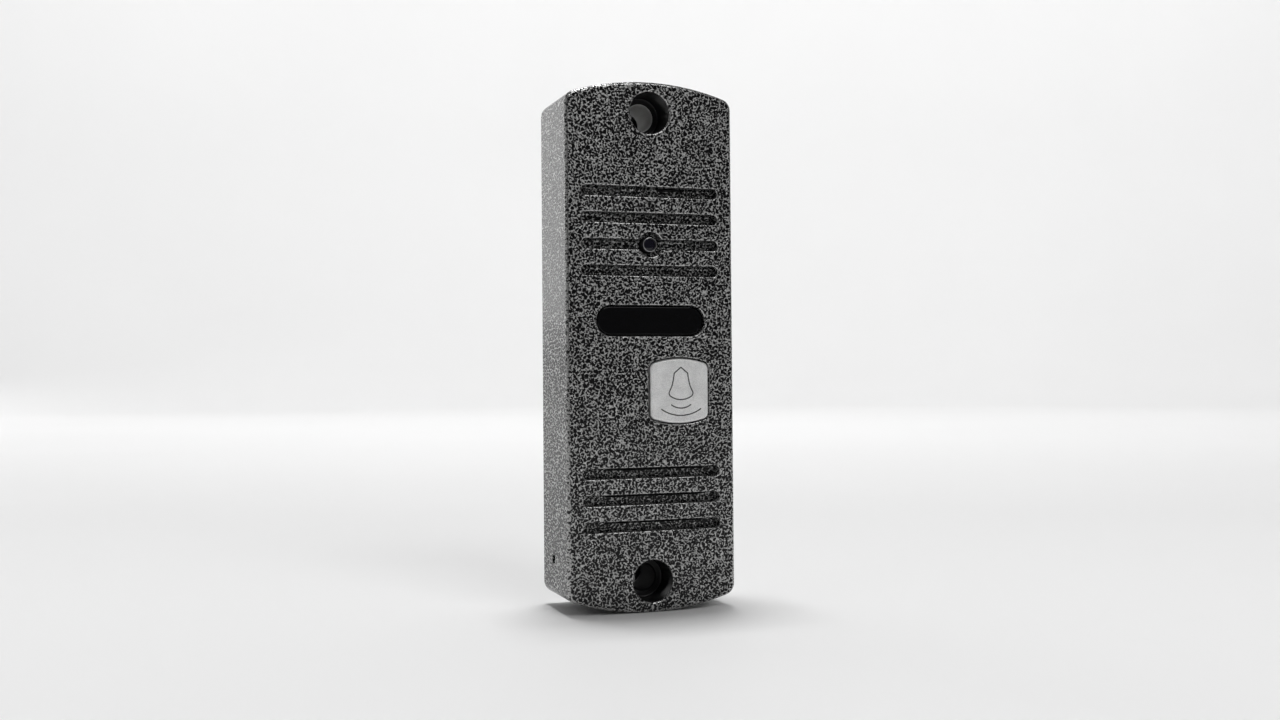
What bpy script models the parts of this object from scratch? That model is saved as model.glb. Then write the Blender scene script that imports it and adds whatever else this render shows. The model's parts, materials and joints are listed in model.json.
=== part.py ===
"""Surface-mounted video call station for a door: a die-cast housing with its camera, lamps, call
button, speaker, microphone and board, closed at the back by a plate that lies on the wall.

The origin is the middle of the back face, which is the wall's plane: X to the right, Y into the
wall, Z up. The front looks along -Y.
"""

import math

import bmesh
import bpy
from mathutils import Vector

MM = 0.001

# driving dimensions of the housing
BODY_WIDTH = 40.6 * MM
BODY_HEIGHT = 122.0 * MM
BODY_DEPTH = 21.0 * MM
END_RADIUS = 60.0 * MM
CORNER_RADIUS = 2.8 * MM
EDGE_RADIUS = 0.8 * MM
SIDE_WALL = 2.2 * MM
FRONT_WALL = 3.6 * MM
GAP = 0.3 * MM

# the hidden seat of the back plate
PLATE_THICK = 1.6 * MM
PLATE_INSET = 1.5 * MM
LEDGE_INSET = 1.2 * MM
LEDGE_LEVEL = -3.4 * MM
PLATE_SLOT = (4.2 * MM, 8.6 * MM)

# wall screw holes
SCREW_SPAN = 53.9 * MM
HEAD_RADIUS = 4.8 * MM
HEAD_DEPTH = 7.6 * MM
SHANK_RADIUS = 3.05 * MM
BOSS_RADIUS = 6.3 * MM

# grooves across the front
GROOVE_LENGTH = 33.1 * MM
GROOVE_HEIGHT = 2.3 * MM
GROOVE_DEPTH = 2.8 * MM
GROOVE_PITCH = 6.07 * MM
UPPER_GROOVES = 4
UPPER_TOP = 35.6 * MM
LOWER_GROOVES = 3
LOWER_TOP = -29.0 * MM
SLIT_HEIGHT = 0.6 * MM
SLIT_X = 1.3 * MM
SPEAKER_SLIT = 24.2 * MM
VOICE_SLIT = 6.9 * MM

# camera, lamp window, button and side hole
CAMERA_Z = UPPER_TOP - 2 * GROOVE_PITCH
CAMERA_RECESS = 2.85 * MM
CAMERA_HOLE = 2.0 * MM
WINDOW_Z = 5.9 * MM
WINDOW_WIDTH = 26.4 * MM
WINDOW_HEIGHT = 7.1 * MM
BUTTON_X = 6.7 * MM
BUTTON_Z = -10.3 * MM
BUTTON_HALF_WIDTH = 7.1 * MM
BUTTON_HALF_HEIGHT = 7.45 * MM
BUTTON_BOW = 20.0 * MM
BUTTON_CORNER = 1.5 * MM
BUTTON_PROUD = 0.4 * MM
BUTTON_TRAVEL = 0.6 * MM
VOLUME_Z = -49.2 * MM
VOLUME_Y = -9.0 * MM
VOLUME_HOLE = 1.05 * MM
VOLUME_ROTOR = 1.5 * MM

# inside
WINDOW_FLANGE = (30.0 * MM, 10.8 * MM)
LAMP_COUNT = 6
LAMP_PITCH = 4.3 * MM
LAMP_RADIUS = 1.45 * MM
BOARD_FRONT = -6.4 * MM
BOARD_THICK = 1.6 * MM
BOARD_HALF_WIDTH = 17.2 * MM
CAMERA_BOARD_FRONT = -9.6 * MM
STRAP_FRONT = -10.0 * MM
LAMP_BOARD_FRONT = -12.2 * MM
SPEAKER_Z = -34.6 * MM
SPEAKER_RADIUS = 12.4 * MM
SPEAKER_MOUTH = 10.6 * MM
SPEAKER_PAD = (31.0 * MM, 24.0 * MM)
STRAP_LENGTH = 35.2 * MM
VOICE_X = 5.9 * MM
CAPSULE_RADIUS = 3.0 * MM
BOOT_RADII = (3.3 * MM, 4.2 * MM)
LENS_HOLDER = 9.4 * MM
SWITCH_SIZE = 6.0 * MM
CABLE_Z = -24.0 * MM
CABLE_RADIUS = 3.2 * MM

# posts and screws; a screw is its head's radius and height, then its shank's radius
BOARD_POST = 2.3 * MM
PLATE_POST = 2.2 * MM
CAMERA_POST = 2.0 * MM
SMALL_POST = 1.9 * MM
WIDE_PILOT = 1.15 * MM
PILOT = 1.0 * MM
SCREW_HOLE = 1.1 * MM
BACK_SCREW = (2.1 * MM, 1.15 * MM, 0.8 * MM)
BOARD_SCREW = (2.2 * MM, 1.2 * MM, 0.8 * MM)
CAMERA_SCREW = (1.6 * MM, 0.9 * MM, 0.7 * MM)
SMALL_SCREW = (1.7 * MM, 1.0 * MM, 0.7 * MM)

FRONT = -BODY_DEPTH
INSIDE = FRONT + FRONT_WALL
HALF_WIDTH = BODY_WIDTH / 2
HALF_HEIGHT = BODY_HEIGHT / 2
GROOVE_FLOOR = FRONT + GROOVE_DEPTH
BUTTON_FLANGE = INSIDE + GAP
BUTTON_FLANGE_BACK = BUTTON_FLANGE + 0.9 * MM
RETAINER_FRONT = BUTTON_FLANGE_BACK + BUTTON_TRAVEL + GAP
BEYOND = 1.0 * MM


# ---- materials ----


def finish(name, colour, roughness, metallic=0.0):
    found = bpy.data.materials.get(name)
    if found:
        return found
    made = bpy.data.materials.new(name)
    made.use_nodes = True
    shader = made.node_tree.nodes["Principled BSDF"]
    shader.inputs["Base Color"].default_value = (*colour, 1.0)
    shader.inputs["Roughness"].default_value = roughness
    shader.inputs["Metallic"].default_value = metallic
    made.diffuse_color = (*colour, 1.0)
    return made


def hammered_silver():
    return finish("hammered_silver", (0.20, 0.20, 0.20), 0.40, 0.6)


def black_plate():
    return finish("black_plate", (0.03, 0.03, 0.032), 0.55)


def satin_silver():
    return finish("satin_silver", (0.48, 0.48, 0.48), 0.38, 0.5)


def smoked_plastic():
    return finish("smoked_plastic", (0.006, 0.006, 0.008), 0.08)


def black_rubber():
    return finish("black_rubber", (0.02, 0.02, 0.02), 0.8)


def black_plastic():
    return finish("black_plastic", (0.025, 0.025, 0.027), 0.45)


def clear_glass():
    return finish("clear_glass", (0.03, 0.04, 0.05), 0.05)


def board_green():
    return finish("board_green", (0.02, 0.16, 0.07), 0.4)


def zinc_screw():
    return finish("zinc_screw", (0.55, 0.55, 0.53), 0.3, 1.0)


def bare_steel():
    return finish("bare_steel", (0.45, 0.45, 0.46), 0.35, 1.0)


def lamp_epoxy():
    return finish("lamp_epoxy", (0.30, 0.28, 0.40), 0.12)


def paper_cone():
    return finish("paper_cone", (0.06, 0.06, 0.055), 0.9)


def ferrite():
    return finish("ferrite", (0.05, 0.05, 0.055), 0.6, 0.2)


def trimmer_blue():
    return finish("trimmer_blue", (0.02, 0.12, 0.42), 0.4)


def brass():
    return finish("brass", (0.55, 0.38, 0.12), 0.3, 1.0)


def connector_nylon():
    return finish("connector_nylon", (0.75, 0.72, 0.62), 0.5)


def woven_mesh():
    return finish("woven_mesh", (0.015, 0.015, 0.016), 0.85)


# ---- outlines, as (x, z) points that run anticlockwise ----


def arc(centre, radius, start, end, steps):
    return [
        (
            centre[0] + radius * math.cos(start + (end - start) * i / steps),
            centre[1] + radius * math.sin(start + (end - start) * i / steps),
        )
        for i in range(steps + 1)
    ]


def disc(centre, radius, steps=24):
    return arc(centre, radius, 0, 2 * math.pi, steps)[:-1]


def bowed(half_width, half_height, bow, corner, inset=0.0, centre=(0.0, 0.0), steps=(4, 14)):
    """Straight sides and bulging ends of radius bow, with rounded corners, drawn in by inset."""
    bow_z = half_height - bow
    corner_x = half_width - corner
    corner_z = bow_z + math.sqrt((bow - corner) ** 2 - corner_x**2)
    turn = math.atan2(corner_z - bow_z, corner_x)
    upper = arc((corner_x, corner_z), corner - inset, 0, turn, steps[0])
    upper += arc((0, bow_z), bow - inset, turn, math.pi - turn, steps[1])[1:-1]
    upper += arc((-corner_x, corner_z), corner - inset, math.pi - turn, math.pi, steps[0])
    lower = [(-x, -z) for x, z in upper]
    return [(centre[0] + x, centre[1] + z) for x, z in upper + lower]


def body_outline(inset):
    return bowed(HALF_WIDTH, HALF_HEIGHT, END_RADIUS, CORNER_RADIUS, inset)


def button_outline(grow):
    centre = (BUTTON_X, BUTTON_Z)
    return bowed(
        BUTTON_HALF_WIDTH, BUTTON_HALF_HEIGHT, BUTTON_BOW, BUTTON_CORNER, -grow, centre, (3, 8)
    )


def stadium(centre, length, height, steps=8):
    radius = height / 2
    reach = length / 2 - radius
    right = arc((centre[0] + reach, centre[1]), radius, -math.pi / 2, math.pi / 2, steps)
    left = arc((centre[0] - reach, centre[1]), radius, math.pi / 2, 1.5 * math.pi, steps)
    return right + left


def upright_slot(centre, width, height, steps=8):
    lying = stadium((0, 0), height, width, steps)
    return [(centre[0] - v, centre[1] + u) for u, v in lying]


def box_outline(centre, width, height):
    half_w = width / 2
    half_h = height / 2
    corners = ((-half_w, -half_h), (half_w, -half_h), (half_w, half_h), (-half_w, half_h))
    return [(centre[0] + x, centre[1] + z) for x, z in corners]


# ---- solids ----


def placed(point, level, axis):
    """A point of an outline drawn across Y, as (x, z), or across X, as (y, z)."""
    if axis == "Y":
        return Vector((point[0], level, point[1]))
    return Vector((level, point[0], point[1]))


def finished(name, bm, material, origin=(0, 0, 0), parent=None):
    bmesh.ops.remove_doubles(bm, verts=bm.verts, dist=0.001 * MM)
    bmesh.ops.recalc_face_normals(bm, faces=bm.faces)
    bmesh.ops.translate(bm, verts=bm.verts, vec=-Vector(origin))
    mesh = bpy.data.meshes.new(name)
    bm.to_mesh(mesh)
    bm.free()
    mesh.shade_smooth()
    mesh.set_sharp_from_angle(angle=math.radians(32))
    obj = bpy.data.objects.new(name, mesh)
    obj.location = origin
    if parent:
        obj.parent = parent
        obj.matrix_parent_inverse = parent.matrix_world.inverted()
    bpy.context.scene.collection.objects.link(obj)
    if material:
        mesh.materials.append(material)
    return obj


def add_stack(bm, rings, axis="Y"):
    """A closed solid through rings, each (outline, level), all with the same number of points."""
    loops = [[bm.verts.new(placed(p, level, axis)) for p in points] for points, level in rings]
    for one, two in zip(loops, loops[1:]):
        for i in range(len(one)):
            j = (i + 1) % len(one)
            bm.faces.new((one[i], one[j], two[j], two[i]))
    bm.faces.new(loops[0])
    bm.faces.new(loops[-1])


def stack(name, rings, material, axis="Y", **where):
    bm = bmesh.new()
    add_stack(bm, rings, axis)
    return finished(name, bm, material, **where)


def prism(name, points, start, end, material, axis="Y", **where):
    return stack(name, [(points, start), (points, end)], material, axis, **where)


def ring(name, outer, inner, start, end, material):
    """A flat frame between two outlines with the same number of points."""
    bm = bmesh.new()
    loops = []
    for points, level in ((outer, start), (inner, start), (inner, end), (outer, end)):
        loops.append([bm.verts.new(placed(p, level, "Y")) for p in points])
    for one, two in zip(loops, loops[1:] + loops[:1]):
        for i in range(len(one)):
            j = (i + 1) % len(one)
            bm.faces.new((one[i], one[j], two[j], two[i]))
    return finished(name, bm, material)


def turned(name, profile, centre, material, steps=24, closed=False, **where):
    """A profile of (radius, y) points spun about the Y line through centre, (x, z).
    A closed profile stays clear of the axis and makes a ring."""
    bm = bmesh.new()
    points = [Vector((centre[0] + r, y, centre[1])) for r, y in profile]
    verts = [bm.verts.new(p) for p in points]
    pairs = list(zip(verts, verts[1:]))
    if closed:
        pairs.append((verts[-1], verts[0]))
    edges = [bm.edges.new(pair) for pair in pairs]
    bmesh.ops.spin(
        bm,
        geom=verts + edges,
        cent=(centre[0], 0, centre[1]),
        axis=(0, 1, 0),
        angle=2 * math.pi,
        steps=steps,
        use_merge=True,
    )
    return finished(name, bm, material, **where)


def tool(name, bm):
    """A hidden solid that cuts or adds to another."""
    made = finished(name, bm, None)
    made.hide_render = True
    made.display_type = "WIRE"
    return made


def prisms(name, shapes):
    """One hidden tool of separate prisms, each (outline, start, end)."""
    bm = bmesh.new()
    for points, start, end in shapes:
        add_stack(bm, [(points, start), (points, end)])
    return tool(name, bm)


def combine(target, other, operation):
    step = target.modifiers.new(other.name, "BOOLEAN")
    step.operation = operation
    step.solver = "EXACT"
    step.object = other


def cut(target, other):
    combine(target, other, "DIFFERENCE")


def add(target, other):
    combine(target, other, "UNION")


def screw(name, centre, head_level, head_radius, head_height, shank, length, sunk=False, steps=14):
    """A screw driven along -Y, whose head stands on head_level, or is sunk into it."""
    tip = head_level - length
    if sunk:
        profile = [(0, tip), (shank, tip + shank * 0.6), (shank, head_level - head_height)]
        profile += [(head_radius, head_level), (0, head_level)]
    else:
        top = head_level + head_height
        rim = head_radius * 0.82
        profile = [(0, tip), (shank, tip + shank * 0.6), (shank, head_level)]
        profile += [(head_radius, head_level), (head_radius, top - head_height * 0.35)]
        profile += [(rim, top), (0, top)]
    made = turned(name, profile, centre, zinc_screw(), steps)
    reach = head_radius * 0.62
    width = head_radius * 0.2
    level = head_level if sunk else head_level + head_height
    cross = []
    for w, h in ((reach, width), (width, reach)):
        cross.append((box_outline(centre, 2 * w, 2 * h), level - head_height * 0.45, level + BEYOND))
    for i, shape in enumerate(cross):
        cut(made, prisms(f"{name}_drive_{i}", [shape]))
    return made


# ---- housing ----


def groove_levels(top, count):
    return [top - i * GROOVE_PITCH for i in range(count)]


def board_posts():
    return [(x * MM, z * MM) for x in (-14.6, 14.6) for z in (43.5, -24.6)]


def plate_screws():
    return [(x * MM, z * MM) for x in (-16.0, 16.0) for z in (54.4, -54.4)]


def camera_posts():
    return [(x * MM, CAMERA_Z) for x in (-8.8, 8.8)]


def speaker_posts():
    return [(x * MM, SPEAKER_Z) for x in (-15.8, 15.8)]


def button_posts():
    return [(-6.6 * MM, z * MM) for z in (-5.0, -15.6)]


def housing():
    round_in = EDGE_RADIUS * (1 - math.sin(math.radians(45)))
    rings = [
        (body_outline(EDGE_RADIUS), FRONT),
        (body_outline(round_in), FRONT + round_in),
        (body_outline(0), FRONT + EDGE_RADIUS),
        (body_outline(0), -GAP),
        (body_outline(GAP), 0),
    ]
    shell = stack("housing", rings, hammered_silver())
    hollow = bmesh.new()
    add_stack(
        hollow,
        [
            (body_outline(SIDE_WALL), INSIDE),
            (body_outline(SIDE_WALL), LEDGE_LEVEL),
            (body_outline(LEDGE_INSET), LEDGE_LEVEL),
            (body_outline(LEDGE_INSET), BEYOND),
        ],
    )
    cut(shell, tool("housing_hollow", hollow))
    root = INSIDE - 0.4 * MM
    wall_centres = [(0, SCREW_SPAN), (0, -SCREW_SPAN)]
    columns = [(disc(c, BOSS_RADIUS, 28), root, LEDGE_LEVEL) for c in wall_centres]
    columns += [(disc(c, BOARD_POST, 16), root, BOARD_FRONT - GAP) for c in board_posts()]
    columns += [(disc(c, PLATE_POST, 16), root, LEDGE_LEVEL) for c in plate_screws()]
    columns += [(disc(c, CAMERA_POST, 14), root, CAMERA_BOARD_FRONT - GAP) for c in camera_posts()]
    columns += [(disc(c, SMALL_POST, 14), root, STRAP_FRONT - GAP) for c in speaker_posts()]
    columns += [(disc(c, SMALL_POST, 14), root, RETAINER_FRONT - GAP) for c in button_posts()]
    add(shell, prisms("housing_columns", columns))
    pilots = [(disc(c, WIDE_PILOT, 12), -13 * MM, LEDGE_LEVEL + BEYOND) for c in plate_screws()]
    pilots += [(disc(c, WIDE_PILOT, 12), -12 * MM, BOARD_FRONT) for c in board_posts()]
    pilots += [(disc(c, PILOT, 12), -14 * MM, CAMERA_BOARD_FRONT) for c in camera_posts()]
    pilots += [(disc(c, PILOT, 12), -15 * MM, STRAP_FRONT) for c in speaker_posts()]
    pilots += [(disc(c, PILOT, 12), -18.2 * MM, RETAINER_FRONT) for c in button_posts()]
    cut(shell, prisms("housing_pilots", pilots))
    heads = [(disc(c, HEAD_RADIUS, 32), FRONT - BEYOND, FRONT + HEAD_DEPTH) for c in wall_centres]
    cut(shell, prisms("housing_heads", heads))
    shanks = [(disc(c, SHANK_RADIUS, 28), FRONT, BEYOND) for c in wall_centres]
    cut(shell, prisms("housing_shanks", shanks))
    levels = groove_levels(UPPER_TOP, UPPER_GROOVES) + groove_levels(LOWER_TOP, LOWER_GROOVES)
    grooves = []
    for z in levels:
        outline = stadium((0, z), GROOVE_LENGTH, GROOVE_HEIGHT)
        grooves.append((outline, FRONT - BEYOND, GROOVE_FLOOR))
    cut(shell, prisms("housing_grooves", grooves))
    rise = (GROOVE_HEIGHT - SLIT_HEIGHT) / 2 - 0.05 * MM
    slits = []
    for z in groove_levels(LOWER_TOP, LOWER_GROOVES):
        outline = stadium((SLIT_X, z + rise), SPEAKER_SLIT, SLIT_HEIGHT, 4)
        slits.append((outline, GROOVE_FLOOR - GAP, INSIDE + BEYOND))
    voice = stadium((VOICE_X, UPPER_TOP + rise), VOICE_SLIT, SLIT_HEIGHT, 4)
    slits.append((voice, GROOVE_FLOOR - GAP, INSIDE + BEYOND))
    cut(shell, prisms("housing_slits", slits))
    lens = (0, CAMERA_Z)
    recess = [(disc(lens, CAMERA_RECESS, 28), FRONT - BEYOND, GROOVE_FLOOR)]
    cut(shell, prisms("housing_camera_recess", recess))
    window = stadium((0, WINDOW_Z), WINDOW_WIDTH, WINDOW_HEIGHT, 12)
    openings = [
        (disc(lens, CAMERA_HOLE, 24), FRONT, INSIDE + BEYOND),
        (window, FRONT - BEYOND, INSIDE + BEYOND),
        (button_outline(GAP), FRONT - BEYOND, INSIDE + BEYOND),
    ]
    cut(shell, prisms("housing_openings", openings))
    side = bmesh.new()
    side_disc = disc((VOLUME_Y, VOLUME_Z), VOLUME_HOLE, 16)
    outer = -HALF_WIDTH - BEYOND
    inner = -HALF_WIDTH + SIDE_WALL + BEYOND
    add_stack(side, [(side_disc, outer), (side_disc, inner)], "X")
    cut(shell, tool("housing_volume_hole", side))


# ---- back ----


def back():
    plate = prism("back_plate", body_outline(PLATE_INSET), -PLATE_THICK, 0, black_plate())
    centres = ((0, SCREW_SPAN), (0, -SCREW_SPAN))
    holes = [(upright_slot(c, *PLATE_SLOT), -4 * MM, BEYOND) for c in centres]
    holes.append((disc((0, CABLE_Z), CABLE_RADIUS + 1.8 * MM, 28), -4 * MM, BEYOND))
    cut(plate, prisms("plate_holes", holes))
    narrow = 1.3 * MM
    wide = 2.5 * MM
    for i, centre in enumerate(plate_screws()):
        seat = bmesh.new()
        rings = [
            (disc(centre, narrow, 14), -4 * MM),
            (disc(centre, narrow, 14), -1.5 * MM),
            (disc(centre, wide, 14), -0.2 * MM),
            (disc(centre, wide, 14), BEYOND),
        ]
        add_stack(seat, rings)
        cut(plate, tool(f"plate_screw_seat_{i}", seat))
        screw(f"back_screw_{i + 1}", centre, -0.15 * MM, *BACK_SCREW, 8 * MM, True)

    level = -PLATE_THICK - GAP
    outer = body_outline(PLATE_INSET + 0.1 * MM)
    inner = body_outline(PLATE_INSET + 1.1 * MM)
    gasket = ring("back_gasket", outer, inner, LEDGE_LEVEL + GAP, level, black_rubber())
    span = SCREW_SPAN - 0.4 * MM
    ears = [(disc((0, z), 5.2 * MM, 24), LEDGE_LEVEL + GAP, level) for z in (span, -span)]
    add(gasket, prisms("gasket_ears", ears))
    eyes = [(disc((0, z), 3.4 * MM, 24), -5 * MM, 0) for z in (SCREW_SPAN, -SCREW_SPAN)]
    cut(gasket, prisms("gasket_eyes", eyes))

    neck = CABLE_RADIUS + 1.5 * MM
    flange = neck + 1.4 * MM
    profile = [(CABLE_RADIUS, -3.1 * MM), (flange, -3.1 * MM), (flange, level)]
    profile += [(neck, level), (neck, -0.15 * MM), (CABLE_RADIUS, -0.15 * MM)]
    turned("cable_grommet", profile, (0, CABLE_Z), black_rubber(), 24, True)


# ---- camera ----


def camera():
    lens = (0, CAMERA_Z)
    nose = CAMERA_HOLE - GAP
    tip = FRONT + 0.5 * MM
    seat = INSIDE + GAP
    mouth = 1.35 * MM
    flange = 3.2 * MM
    edge = 0.1 * MM
    profile = [(mouth, tip + edge), (mouth + edge, tip), (nose - edge, tip)]
    profile += [(nose, tip + edge), (nose, seat), (flange, seat)]
    profile += [(flange, seat + 0.7 * MM), (mouth, seat + 0.7 * MM)]
    turned("camera_bezel", profile, lens, black_plastic(), 24, True)
    prism("camera_glass", disc(lens, mouth - GAP), tip + 0.4 * MM, tip + 1.1 * MM, clear_glass())

    bore = 2.3 * MM
    wall = 3.0 * MM
    barrel = [(bore, -16.1 * MM), (wall, -16.1 * MM), (wall, -11.0 * MM), (bore, -11.0 * MM)]
    turned("lens_barrel", barrel, lens, black_plastic(), 20, True)
    rim = 1.95 * MM
    element = [(0, -15.9 * MM), (rim / 2, -15.75 * MM), (rim, -15.3 * MM)]
    element += [(rim, -14.6 * MM), (0, -14.6 * MM)]
    turned("lens_element", element, lens, clear_glass(), 20)
    board_face = CAMERA_BOARD_FRONT - GAP
    square = box_outline(lens, LENS_HOLDER, LENS_HOLDER)
    holder = prism("lens_holder", square, -14 * MM, board_face, black_plastic())
    cut(holder, prisms("holder_bore", [(disc(lens, wall + 0.35 * MM, 20), -15 * MM, -9 * MM)]))
    sensor = box_outline(lens, 4.2 * MM, 4.2 * MM)
    prism("image_sensor", sensor, -10.6 * MM, board_face, ferrite())

    back_face = CAMERA_BOARD_FRONT + 1.0 * MM
    outline = box_outline(lens, 22 * MM, 12 * MM)
    board = prism("camera_board", outline, CAMERA_BOARD_FRONT, back_face, board_green())
    holes = [(disc(c, SCREW_HOLE, 14), -11 * MM, -8 * MM) for c in camera_posts()]
    cut(board, prisms("camera_board_holes", holes))
    for i, centre in enumerate(camera_posts()):
        level = back_face + 0.2 * MM
        screw(f"camera_screw_{i + 1}", centre, level, *CAMERA_SCREW, 4.5 * MM)
    header = box_outline((0, CAMERA_Z - 3.6 * MM), 10 * MM, 2.4 * MM)
    prism("camera_header", header, back_face + GAP, BOARD_FRONT - GAP, black_plastic())


# ---- lamp window ----


def lamps():
    centre = (0, WINDOW_Z)
    flange_outline = stadium(centre, *WINDOW_FLANGE, 12)
    seal_width = 1.4 * MM
    inner = stadium(centre, *(size - 2 * seal_width for size in WINDOW_FLANGE), 12)
    seat = INSIDE + GAP
    ring("window_gasket", flange_outline, inner, seat, seat + 0.5 * MM, black_rubber())
    flange = INSIDE + 1.1 * MM
    face = FRONT + 0.7 * MM
    wide = WINDOW_WIDTH - 2 * GAP
    high = WINDOW_HEIGHT - 2 * GAP
    edge = 0.3 * MM
    rings = [
        (stadium(centre, wide - 2 * edge, high - 2 * edge, 12), face),
        (stadium(centre, wide, high, 12), face + edge),
        (stadium(centre, wide, high, 12), flange),
        (flange_outline, flange),
        (flange_outline, flange + MM),
    ]
    stack("window_pane", rings, smoked_plastic())

    board_back = LAMP_BOARD_FRONT + 1.2 * MM
    outline = box_outline(centre, 32 * MM, 9.6 * MM)
    prism("lamp_board", outline, LAMP_BOARD_FRONT, board_back, board_green())
    seat = LAMP_BOARD_FRONT - GAP
    radius = LAMP_RADIUS
    for i in range(LAMP_COUNT):
        x = (i - LAMP_COUNT / 2) * LAMP_PITCH
        profile = [(0, seat - 2.6 * MM), (radius * 0.5, seat - 2.4 * MM)]
        profile += [(radius * 0.87, seat - 1.9 * MM), (radius, seat - 1.2 * MM)]
        profile += [(radius, seat), (0, seat)]
        turned(f"infrared_lamp_{i + 1}", profile, (x, WINDOW_Z), lamp_epoxy(), 14)
    profile = [(0, seat - 1.5 * MM), (1.3 * MM, seat - 1.5 * MM), (1.5 * MM, seat), (0, seat)]
    x = LAMP_COUNT / 2 * LAMP_PITCH
    turned("light_sensor", profile, (x, WINDOW_Z), clear_glass(), 14)
    header = box_outline((11 * MM, WINDOW_Z), 7.6 * MM, 2.4 * MM)
    prism("lamp_header", header, board_back + GAP, BOARD_FRONT - GAP, black_plastic())


# ---- call button ----


def call_button():
    centre = (BUTTON_X, BUTTON_Z)
    bpy.context.view_layer.update()
    slide = bpy.data.objects.new("call_button_slide", None)
    slide.location = (BUTTON_X, FRONT, BUTTON_Z)
    bpy.context.scene.collection.objects.link(slide)
    bpy.context.view_layer.update()
    face = FRONT - BUTTON_PROUD
    rings = [
        (button_outline(-0.5 * MM), face),
        (button_outline(-0.15 * MM), face + 0.15 * MM),
        (button_outline(0), face + 0.5 * MM),
        (button_outline(0), BUTTON_FLANGE),
        (button_outline(1.1 * MM), BUTTON_FLANGE),
        (button_outline(1.1 * MM), BUTTON_FLANGE_BACK),
    ]
    cap = stack("button_cap", rings, satin_silver(), parent=slide)
    hollow = [(button_outline(-1.5 * MM), face + 1.6 * MM, BUTTON_FLANGE_BACK + BEYOND)]
    cut(cap, prisms("button_hollow", hollow))
    add(cap, prisms("button_stem", [(disc(centre, 1.9 * MM, 16), face + MM, -12.2 * MM)]))

    outer = button_outline(2.4 * MM)
    inner = button_outline(-0.9 * MM)
    rest = RETAINER_FRONT
    frame = ring("button_retainer", outer, inner, rest, rest + MM, black_plastic())
    arms = []
    holes = []
    for x, z in button_posts():
        arms.append((box_outline((x + 1.7 * MM, z), 7.2 * MM, 4.2 * MM), rest, rest + MM))
        holes.append((disc((x, z), SCREW_HOLE, 12), rest - BEYOND, rest + 2 * MM))
    add(frame, prisms("retainer_arms", arms))
    cut(frame, prisms("retainer_holes", holes))
    for i, post in enumerate(button_posts()):
        screw(f"retainer_screw_{i + 1}", post, rest + 1.3 * MM, *SMALL_SCREW, 4 * MM)

    square = box_outline(centre, SWITCH_SIZE, SWITCH_SIZE)
    body = prism("switch_body", square, -10.1 * MM, BOARD_FRONT - GAP, black_plastic())
    plunger = 1.55 * MM
    well = disc(centre, plunger + 0.35 * MM, 16)
    cut(body, prisms("switch_well", [(well, -11 * MM, -7.9 * MM)]))
    rod = disc(centre, plunger, 16)
    prism("switch_plunger", rod, -11.9 * MM, -8.9 * MM, black_plastic(), parent=slide)


# ---- speaker ----


def speaker():
    centre = (0, SPEAKER_Z)
    seat = INSIDE + GAP
    pad = box_outline((SLIT_X / 2, SPEAKER_Z), *SPEAKER_PAD)
    gasket = prism("speaker_gasket", pad, seat, seat + 0.6 * MM, black_rubber())
    eyes = [(disc(centre, SPEAKER_MOUTH, 32), seat - BEYOND, seat + 2 * MM)]
    eyes += [(disc(c, SMALL_POST + GAP, 14), seat - BEYOND, seat + 2 * MM) for c in speaker_posts()]
    eyes += [(disc(c, BOARD_POST + GAP, 14), seat - BEYOND, seat + 2 * MM) for c in board_posts()]
    cut(gasket, prisms("speaker_gasket_eyes", eyes))
    cloth = disc(centre, SPEAKER_MOUTH - GAP, 32)
    prism("speaker_mesh", cloth, seat, seat + 0.25 * MM, woven_mesh())
    basket = [(12.4, -16.2), (12.4, -15.2), (11.6, -15.2), (8.6, -13.0), (8.6, -12.2)]
    basket += [(7.6, -12.2), (7.6, -13.3), (10.8, -15.6), (11.3, -16.2)]
    basket = [(r * MM, y * MM) for r, y in basket]
    turned("speaker_basket", basket, centre, bare_steel(), 32, True)
    cone = [(0, -15.5), (1.8, -15.35), (3.2, -14.8), (6.5, -15.5), (10.3, -16.2), (10.3, -15.9)]
    cone += [(6.5, -15.2), (3.2, -14.4), (1.8, -15.0), (0, -15.15)]
    cone = [(r * MM, y * MM) for r, y in cone]
    turned("speaker_cone", cone, centre, paper_cone(), 32)
    motor = disc(centre, 7.2 * MM, 28)
    prism("speaker_magnet", motor, -13.4 * MM, -11.4 * MM, ferrite())
    prism("speaker_yoke", motor, -11.1 * MM, STRAP_FRONT - GAP, bare_steel())
    strap_outline = box_outline(centre, STRAP_LENGTH, 5.4 * MM)
    strap_back = STRAP_FRONT + 0.8 * MM
    strap = prism("speaker_strap", strap_outline, STRAP_FRONT, strap_back, bare_steel())
    holes = [(disc(c, SCREW_HOLE, 12), -11 * MM, -8 * MM) for c in speaker_posts()]
    cut(strap, prisms("strap_holes", holes))
    for i, post in enumerate(speaker_posts()):
        screw(f"speaker_screw_{i + 1}", post, strap_back + 0.2 * MM, *SMALL_SCREW, 5 * MM)


# ---- microphone ----


def microphone():
    centre = (VOICE_X, UPPER_TOP)
    seat = INSIDE + GAP
    inner, outer = BOOT_RADII
    end = -13.4 * MM
    boot = [(inner, seat), (outer, seat), (outer, end), (inner, end)]
    turned("microphone_boot", boot, centre, black_rubber(), 20, True)
    round_outline = disc(centre, CAPSULE_RADIUS, 20)
    prism("microphone_mesh", round_outline, seat, seat + 0.25 * MM, woven_mesh())
    prism("microphone_capsule", round_outline, -16.0 * MM, end, bare_steel())


# ---- main board ----


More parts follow.
